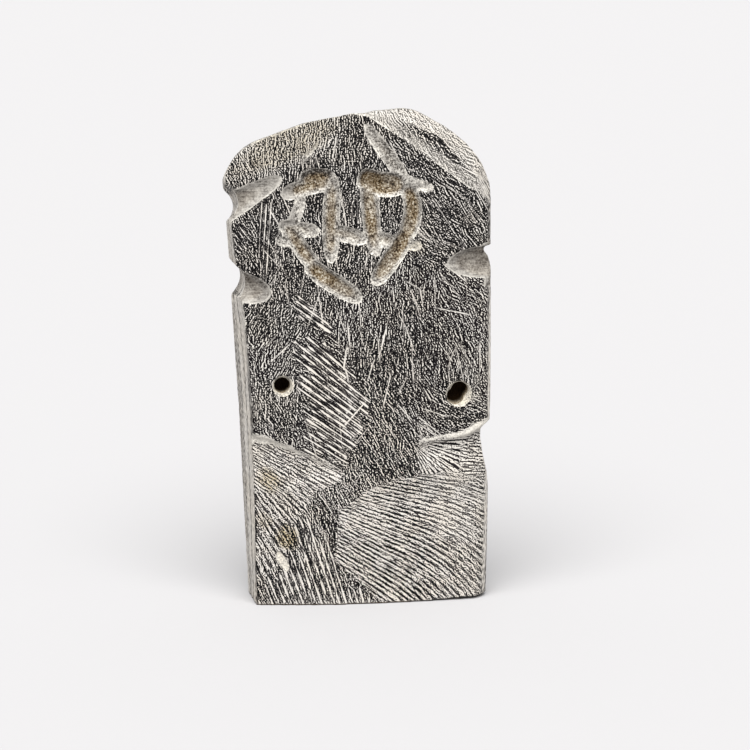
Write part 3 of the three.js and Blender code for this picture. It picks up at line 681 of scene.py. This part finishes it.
def work_the_surface(piece):
    """Cuts the rasp strokes and the chip into the mesh and roughens it, within the solid's form."""
    mesh = piece.data
    points, normals = points_of(mesh)
    fields = surface_fields(points, normals, 0.0)
    furrow = 0.5 - 0.5 * np.cos(2 * np.pi * fields["count"])
    strength = 0.75 + 0.5 * cloudy(points, 2.4, 41)
    inward = STROKE_DEPTH * np.abs(fields["rasp"]) * furrow * strength * fields["front"]
    inward += WALL_ROUGHNESS * np.maximum(fields["gouge"], cut_open(fields)) * cloudy(points, 0.95, 44)
    inward += CHIP["depth"] * fields["chip"]
    inward += unevenness(points)
    # The underside stays flat.
    inward *= smooth_step(points[:, 2], 0.0, 0.4)
    moved = points - normals * inward[:, None]
    moved[:, 2] += FOOT_WEAR * fields["worn_foot"]
    # Nothing reaches past the solid's box.
    low, high = (np.array(corner) / MM for corner in cad_box)
    moved = np.clip(moved, low, high)
    mesh.vertices.foreach_set("co", (moved * MM).ravel())
    mesh.update()


def thin_the_back(piece):
    """Uses fewer faces towards the plain back, so that the piece stays light."""
    mesh = piece.data
    triangles = sum(len(polygon.vertices) - 2 for polygon in mesh.polygons)
    if triangles <= MOST_TRIANGLES:
        return
    points, _ = points_of(mesh)
    plain = np.round(smooth_step(points[:, 1], -5.0, -1.0) * BACK_LEVELS)
    group = piece.vertex_groups.new(name="plain")
    for level in range(1, BACK_LEVELS + 1):
        chosen = np.flatnonzero(plain == level)
        if len(chosen):
            group.add(chosen.tolist(), level / BACK_LEVELS, "REPLACE")
    thin = piece.modifiers.new("thin", "DECIMATE")
    thin.ratio = MOST_TRIANGLES / triangles
    thin.vertex_group = group.name
    thin.vertex_group_factor = 8.0
    apply_modifiers(piece)
    piece.vertex_groups.clear()


def store_fields(piece):
    """Keeps what each point looks like as attributes, for the material to read. The third part of
    grain is only there to shift the shake of the scratches a little where the stone is cut."""
    mesh = piece.data
    points, normals = points_of(mesh)
    fields = surface_fields(points, normals, unevenness(points))
    # How well the fine scratches at each point fit each of the slopes.
    for slope in GRAIN_SLOPES:
        fields[slope] = np.maximum(0, np.cos(2 * np.radians(fields["slope"] - slope))) ** 1.3
    vectors = dict(
        grain=("u", "w", "bright"), grain_a=GRAIN_SLOPES[:3], grain_b=GRAIN_SLOPES[3:],
        strokes=("run", "count", "width"), cross=("run_b", "count_b", "show_b"))
    for name, parts in vectors.items():
        attribute = mesh.attributes.new(name, "FLOAT_VECTOR", "POINT")
        attribute.data.foreach_set("vector", np.stack([fields[part] for part in parts], 1).ravel())
    for name in ("bare", "rasp", "cut", "gouge", "dirt", "deep", "stain", "up", "bright", "plain"):
        attribute = mesh.attributes.new(name, "FLOAT", "POINT")
        attribute.data.foreach_set("value", fields[name])


def as_seen(red, green, blue):
    """A stone colour that looks like the given one, 0 to 255, in the light on the front."""
    curve = [((c / 255 + 0.055) / 1.055) ** 2.4 for c in (red, green, blue)]
    return tuple(c / LIGHT_ON_FRONT for c in curve) + (1.0,)


class Nodes:
    """Short hands for a material's nodes."""

    def __init__(self, name):
        self.material = bpy.data.materials.new(name)
        self.material.use_nodes = True
        self.tree = self.material.node_tree
        self.tree.nodes.clear()

    def add(self, kind, settings=None, **inputs):
        """A node. Its inputs go by name, or by number as i0, i1 and so on."""
        node = self.tree.nodes.new("ShaderNode" + kind)
        for key, value in (settings or {}).items():
            setattr(node, key, value)
        for key, value in inputs.items():
            by_number = key[0] == "i" and key[1:].isdigit()
            socket = node.inputs[int(key[1:]) if by_number else key.replace("_", " ")]
            if isinstance(value, bpy.types.NodeSocket):
                self.tree.links.new(value, socket)
            else:
                socket.default_value = value
        return node

    def attribute(self, name, output="Fac"):
        return self.add("Attribute", dict(attribute_name=name)).outputs[output]

    def parts(self, vector):
        return self.add("SeparateXYZ", Vector=vector).outputs[:3]

    def math(self, operation, first, second=0.0, third=0.0):
        return self.add("Math", dict(operation=operation), i0=first, i1=second, i2=third).outputs[0]

    def plus(self, first, second):
        return self.math("ADD", first, second)

    def minus(self, first, second):
        return self.math("SUBTRACT", first, second)

    def times(self, first, second):
        return self.math("MULTIPLY", first, second)

    def times_plus(self, first, second, third):
        return self.math("MULTIPLY_ADD", first, second, third)

    def greater(self, first, second):
        return self.math("MAXIMUM", first, second)

    def absolute(self, value):
        return self.math("ABSOLUTE", value)

    def ramp(self, value, low, high, to_low=0.0, to_high=1.0, kind="SMOOTHSTEP"):
        settings = dict(interpolation_type=kind)
        return self.add("MapRange", settings, i0=value, i1=low, i2=high, i3=to_low, i4=to_high).outputs[0]

    def straight_ramp(self, value, low, high, to_low=0.0, to_high=1.0):
        return self.ramp(value, low, high, to_low, to_high, kind="LINEAR")

    def blend(self, share, first, second, mode="MIX"):
        node = self.add("Mix", dict(data_type="RGBA", blend_type=mode), i0=share, i6=first, i7=second)
        return node.outputs[2]

    def shades(self, value, stops):
        """The colours of a set of shades, by tone."""
        node = self.add("ValToRGB", Fac=value)
        places = node.color_ramp.elements
        while len(places) < len(stops):
            places.new(0.5)
        for place, (tone, colour) in zip(places, stops):
            place.position = tone
            place.color = as_seen(*colour)
        return node.outputs[0]

    def scaled(self, vector, by):
        return self.add("Mapping", Vector=vector, Scale=by).outputs[0]

    def noise(self, vector, scale, detail, roughness=0.5, dimensions="3D"):
        inputs = dict(Vector=vector, Scale=scale, Detail=detail, Roughness=roughness)
        return self.add("TexNoise", dict(noise_dimensions=dimensions), **inputs).outputs[0]

    def flat_place(self, along, across):
        return self.add("CombineXYZ", X=along, Y=across).outputs[0]

    def stroke_lines(self, run, count, width, rate):
        """Thin lines along the whole counts, whose width and strength change along their run."""
        number = self.math("FLOOR", count)
        chance = self.add("TexWhiteNoise", dict(noise_dimensions="1D"), W=number).outputs["Value"]
        centre = self.times_plus(chance, 0.18, 0.41)
        off_line = self.absolute(self.minus(self.math("FRACT", count), centre))
        along_line = self.flat_place(self.times(run, rate), self.times(number, NEXT_LINE))
        change = self.straight_ramp(self.noise(along_line, 1.0, 1.0), 0.3, 0.62, 0.1, 1.25)
        half_width = self.times(self.times(width, 0.5), change)
        return self.ramp(self.minus(off_line, half_width), -0.07, 0.07, 1.0, 0.0)

    def scratches(self, place, slope, spacing, length, shake):
        """Straight scratches of one slope. Each has a pale and a dark side, and comes and goes."""
        turned_place = self.add(
            "Mapping", dict(vector_type="TEXTURE"), Vector=place, Rotation=(0.0, 0.0, -math.radians(slope)),
            Scale=(length, spacing, 1.0)).outputs[0]
        along, count, _ = self.parts(turned_place)
        count = self.plus(count, shake)
        across = self.times_plus(self.math("FLOOR", count), NEXT_LINE, slope)
        shown = self.noise(self.flat_place(along, across), 1.0, 1.0, dimensions="2D")
        off_line = self.absolute(self.minus(self.math("FRACT", count), 0.5))
        wave = self.ramp(off_line, 0.05, 0.3, 1.25, -0.5)
        return self.times(wave, self.straight_ramp(shown, 0.36, 0.64, -1.0, 1.0))


def fine_scratches(n):
    """Fine scratches along the grain, coarser ones a little off it, and flecks."""
    place = n.attribute("grain", "Vector")
    flecks = n.noise(place, 3.1, 0.0, dimensions="2D")
    pattern = n.times(n.minus(flecks, 0.5), 2.8)
    shake = n.times(n.noise(place, 0.22, 1.0), 2.6)
    shares = n.parts(n.attribute("grain_a", "Vector")) + n.parts(n.attribute("grain_b", "Vector"))
    for slope, share in zip(GRAIN_SLOPES, shares):
        fine = n.scratches(place, slope, 0.66, 4.2, shake)
        coarse = n.scratches(place, slope + 8, 0.97, 6.0, shake)
        pattern = n.times_plus(fine, share, pattern)
        pattern = n.times_plus(coarse, n.times(share, 0.45), pattern)
    return pattern


def skin_tone(n, rasp, plain):
    """How pale the skin is between its strokes. Its scratches are weaker where it is rasped or
    plain, and it is darker under pale strokes."""
    calm = n.times(
        n.straight_ramp(n.absolute(rasp), 0.0, 1.0, 1.05, 0.62),
        n.straight_ramp(plain, 0.0, 1.0, 1.0, 0.3))
    bare = n.minus(n.attribute("bare"), 0.075)
    tone = n.straight_ramp(n.plus(bare, n.times(fine_scratches(n), calm)), 0.0, 1.0)
    return n.times(tone, n.straight_ramp(rasp, 0.0, 1.0, 1.0, 0.7))


def with_strokes(n, tone, rasp):
    """A tone with the rasp strokes, a painted highlight beside each, and the lone scratches on it, and
    their lines by themselves.
    """
    run, count, width = n.parts(n.attribute("strokes", "Vector"))
    run_b, count_b, show_b = n.parts(n.attribute("cross", "Vector"))
    stroke = n.stroke_lines(run, count, width, 0.34)
    # A painted highlight beside each stroke, where its ridge would catch the light.
    painted_highlight_line = n.stroke_lines(run, n.plus(count, 0.42), n.times(width, 0.75), 0.21)
    pale_strokes = n.times(stroke, n.greater(rasp, 0.0))
    dark_strokes = n.times(stroke, n.greater(n.times(rasp, -1.0), 0.0))
    painted_highlights = n.times(painted_highlight_line, n.absolute(rasp))
    lone = n.times(n.stroke_lines(run_b, count_b, 0.25, 0.12), show_b)
    tone = n.plus(tone, n.times(pale_strokes, 1.15))
    tone = n.greater(tone, n.times(lone, 1.1))
    tone = n.plus(tone, n.times(painted_highlights, 0.45))
    tone = n.minus(tone, n.times(dark_strokes, 0.95))
    return tone, n.plus(stroke, lone)


def wall_pattern(n, mm, plain):
    """The blotches and specks of cut stone, around 0.5, with file marks where it is plain."""
    specks = n.times(n.minus(n.noise(mm, 2.1, 2.0, 0.75), 0.5), n.ramp(plain, 0.0, 1.0, 1.15, 0.3))
    blotches = n.minus(n.noise(mm, 0.5, 1.0), 0.5)
    blotches = n.times_plus(blotches, n.straight_ramp(plain, 0.0, 1.0, 0.35, 0.1), 0.5)
    file_marks = n.minus(n.noise(n.scaled(mm, (0.25, 1.5, 2.4)), 1.0, 1.0), 0.5)
    return n.plus(specks, n.times_plus(n.times(file_marks, plain), 0.3, blotches))


def wall_colour(n, pattern, ragged, clouds):
    """The colour of cut stone: a pale rim at a gouge's edge and lighter stone on what faces up, both
    painted light, darker stone on what faces down as painted shade, brown dirt further in, and the
    painted dark of the holes' depths and the contact shadow."""
    # Painted light: a pale band along a gouge's edge, and stone lighter where it faces up and darker where
    # it faces down.
    edge = n.ramp(n.absolute(n.minus(ragged, 0.62)), 0.08, 0.24, 0.1, 0.0)
    painted_light = n.times_plus(n.attribute("up"), 0.07, edge)
    tone = n.plus(n.plus(painted_light, pattern), n.times(n.attribute("bright"), 0.12))
    dirt = n.times(n.attribute("dirt"), n.ramp(clouds, 0.3, 0.6, 0.6, 1.0))
    wall = n.blend(dirt, n.shades(tone, CLEAN_SHADES), n.shades(tone, DIRTY_SHADES))
    # Deep: the holes' depths painted darker as painted shade, and the painted contact shadow.
    return n.blend(n.attribute("deep"), wall, as_seen(*HOLE_AND_SHADOW_COLOUR))


def carved_stone():
    """Dark worn skin with pale scratches, rasp strokes, fresh cuts, dirty gouges and stains."""
    n = Nodes("carved_stone")
    mm = n.scaled(n.add("TexCoord").outputs["Object"], (1 / MM, 1 / MM, 1 / MM))
    rasp, plain = n.attribute("rasp"), n.attribute("plain")
    clouds = n.noise(mm, 0.16, 3.0)

    # The skin.
    tone, lines = with_strokes(n, skin_tone(n, rasp, plain), rasp)
    skin = n.shades(tone, SKIN_SHADES)
    skin = n.blend(n.times(n.ramp(clouds, 0.4, 0.62), 0.3), skin, WARM_TINT, "MULTIPLY")

    # The cut stone, and the stains over all.
    pattern = wall_pattern(n, mm, plain)
    ragged = n.times_plus(n.minus(pattern, 0.5), 0.2, n.attribute("cut"))
    gouge = n.greater(n.attribute("gouge"), n.ramp(ragged, 0.45, 0.55))
    colour = n.blend(gouge, skin, wall_colour(n, pattern, ragged, clouds))
    stain = n.times(n.attribute("stain"), n.ramp(pattern, 0.35, 0.6, 0.35, 0.95))
    colour = n.blend(stain, colour, STAIN_TINT, "MULTIPLY")

    # The finest relief.
    scored = n.noise(n.scaled(mm, (2.6, 1.0, 0.7)), 1.0, 1.0)
    relief = n.times_plus(scored, -0.5, n.times(lines, -0.3))
    relief = n.times_plus(n.times(pattern, gouge), 0.8, relief)
    bump = n.add("Bump", Strength=0.5, Distance=BUMP_HEIGHT * MM, Height=relief).outputs[0]
    rough = n.ramp(tone, 0.0, 1.0, 0.6, 0.86)
    shader = n.add("BsdfPrincipled", Base_Color=colour, Roughness=rough, Normal=bump)
    shader.inputs["Specular IOR Level"].default_value = 0.08
    n.add("OutputMaterial", Surface=shader.outputs[0])
    return n.material


def carved_figure():
    """The stone figure, refined from its solid."""
    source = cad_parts["stone_figure"]
    piece = finely_meshed(source, "carved_stone_figure")
    soften(piece)
    work_the_surface(piece)
    thin_the_back(piece)
    store_fields(piece)
    for polygon in piece.data.polygons:
        polygon.use_smooth = True
    piece.data.materials.clear()
    piece.data.materials.append(carved_stone())
    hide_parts("stone_figure")
    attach(piece, "root")


def pale_floor():
    """A wide plain floor that fills the view."""
    bm = bmesh.new()
    bmesh.ops.create_grid(bm, x_segments=1, y_segments=1, size=12000 * MM)
    mesh = bpy.data.meshes.new("pale_floor")
    bm.to_mesh(mesh)
    bm.free()
    floor = bpy.data.objects.new("pale_floor", mesh)
    bpy.context.collection.objects.link(floor)
    n = Nodes("pale_paper")
    shader = n.add("BsdfPrincipled", Base_Color=(0.415, 0.409, 0.412, 1.0), Roughness=1.0)
    n.add("OutputMaterial", Surface=shader.outputs[0])
    mesh.materials.append(n.material)


def soft_sun(name, azimuth, elevation, spread, strength):
    """A large soft light, far away, in a direction given in degrees from the front."""
    lamp = bpy.data.lights.new(name, "SUN")
    lamp.angle = math.radians(spread)
    lamp.energy = strength
    turn, rise = math.radians(azimuth), math.radians(elevation)
    towards = Vector((math.sin(turn) * math.cos(rise), -math.cos(turn) * math.cos(rise), math.sin(rise)))
    holder = bpy.data.objects.new(name, lamp)
    holder.rotation_euler = towards.to_track_quat("Z", "Y").to_euler()
    bpy.context.collection.objects.link(holder)


def studio():
    """Even white surroundings with a soft lamp above the front."""
    world = bpy.data.worlds.new("white_studio")
    world.use_nodes = True
    background = world.node_tree.nodes["Background"]
    background.inputs["Color"].default_value = (1.0, 1.0, 1.0, 1.0)
    background.inputs["Strength"].default_value = 0.7
    bpy.context.scene.world = world
    soft_sun("light_from_above", azimuth=-9.0, elevation=57.0, spread=55.0, strength=5.4)
    bpy.context.scene.view_settings.view_transform = "Standard"


def camera():
    """The view of the photograph: a little from the left and above."""
    azimuth, elevation = math.radians(-6.0), math.radians(10.5)
    distance = 700 * MM
    target = Vector((4.25 * MM, -3.7 * MM, 56.5 * MM))
    back = Vector((
        math.sin(azimuth) * math.cos(elevation),
        -math.cos(azimuth) * math.cos(elevation),
        math.sin(elevation),
    ))
    lens = bpy.data.cameras.new("camera")
    lens.sensor_width = 36.0
    lens.lens = 136.66
    holder = bpy.data.objects.new("camera", lens)
    holder.location = target + back * distance
    holder.rotation_euler = (-back).to_track_quat("-Z", "Y").to_euler()
    bpy.context.collection.objects.link(holder)
    bpy.context.scene.camera = holder


carved_figure()
pale_floor()
studio()
camera()
